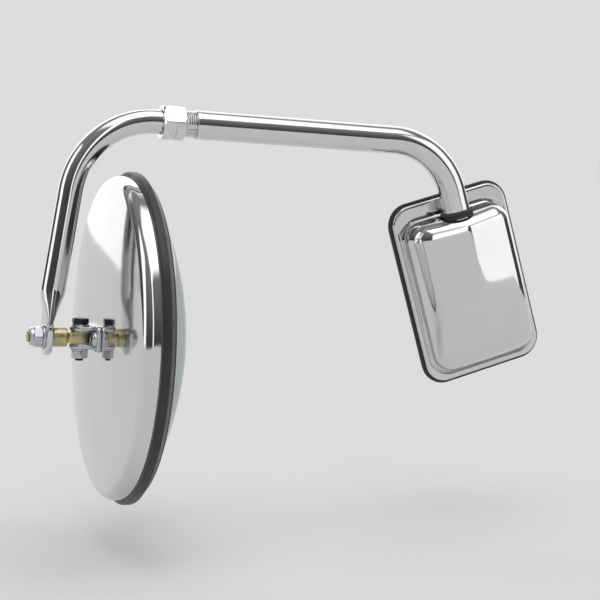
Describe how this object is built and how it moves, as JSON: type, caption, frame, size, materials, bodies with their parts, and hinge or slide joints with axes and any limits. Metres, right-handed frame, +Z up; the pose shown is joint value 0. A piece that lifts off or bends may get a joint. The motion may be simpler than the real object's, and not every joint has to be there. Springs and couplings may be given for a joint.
{
  "type": "towing mirror",
  "caption": "Round convex towing mirror on a bent telescoping tube arm that swings from a polished pod bolted to the hood.",
  "frame": {"origin": "centre of the pod gasket's back face, on the hood's surface", "axes": "+Z up, +Y into the hood along the mounting studs, arm towards -X, glass facing +X"},
  "size_m": [0.373, 0.218, 0.2611],
  "materials": {
    "gasket_rubber": "matte moulded",
    "rim_rubber": "satin moulded",
    "plate_steel": "mill finish",
    "zinc_steel": "bright zinc plated",
    "cast_black": "black coated casting",
    "nylon_liner": "natural nylon",
    "polished_stainless": "polished stainless",
    "tube_stainless": "polished stainless, fine lengthwise lines",
    "collar_chrome": "bright plated",
    "yellow_zinc": "yellow zinc plated",
    "black_steel": "black oxide",
    "silvered_glass": "silvered convex glass"
  },
  "bodies": {
    "pod": {"pod_gasket": "gasket_rubber", "pod_base_plate": "plate_steel", "mounting_studs": "zinc_steel", "tube_socket": "cast_black", "socket_cap": "cast_black", "socket_screws": "zinc_steel", "socket_washers": "zinc_steel", "socket_bushing": "nylon_liner", "pod_cover": "polished_stainless", "tube_grommet": "gasket_rubber"},
    "outer_arm": {"outer_arm_tube": "tube_stainless", "arm_end_plug": "plate_steel", "arm_end_washer": "zinc_steel", "arm_end_bolt": "zinc_steel"},
    "collar": {"collar_nut": "collar_chrome"},
    "collar_ring": {"collar_ferrule": "nylon_liner"},
    "inner_arm": {"inner_arm_tube": "tube_stainless", "spring_washer": "zinc_steel"},
    "swivel": {"swivel_post": "yellow_zinc", "swivel_washer": "zinc_steel", "swivel_nut": "zinc_steel"},
    "head": {"pivot_bolt": "black_steel", "pivot_washers": "zinc_steel", "pivot_nut": "zinc_steel", "friction_washers": "nylon_liner", "mirror_clevis": "zinc_steel", "clevis_screws": "zinc_steel", "clevis_screw_nuts": "zinc_steel", "backing_plate": "plate_steel", "mirror_shell": "polished_stainless", "rim_gasket": "rim_rubber", "mirror_glass": "silvered_glass"}
  },
  "joints": [
    {"name": "arm_swivel", "type": "hinge", "parent": "pod", "child": "outer_arm", "pos_m": [0, -0.01852, 0], "axis": [-0.2588, 0, 0.9659], "range_deg": [-20, 110]},
    {"name": "collar_nut_turn", "type": "hinge", "parent": "outer_arm", "child": "collar", "pos_m": [-0.21767, -0.01852, 0.11095], "axis": [-0.9976, 0, 0.0698], "range_deg": [0, 180]},
    {"name": "arm_roll", "type": "hinge", "parent": "outer_arm", "child": "collar_ring", "pos_m": [-0.22216, -0.01852, 0.11127], "axis": [-0.9976, 0, 0.0698], "range_deg": [-60, 60]},
    {"name": "arm_telescope", "type": "slide", "parent": "collar_ring", "child": "inner_arm", "axis": [-0.9976, 0, 0.0698], "range_m": [0, 0.06]},
    {"name": "head_swivel", "type": "hinge", "parent": "inner_arm", "child": "swivel", "pos_m": [-0.302, -0.01852, -0.027], "axis": [0.9986, 0, -0.0523], "range_deg": [-15, 15]},
    {"name": "head_pan", "type": "hinge", "parent": "swivel", "child": "head", "pos_m": [-0.28043, -0.01852, -0.02813], "axis": [0.0523, 0, 0.9986], "range_deg": [-30, 30]}
  ]
}
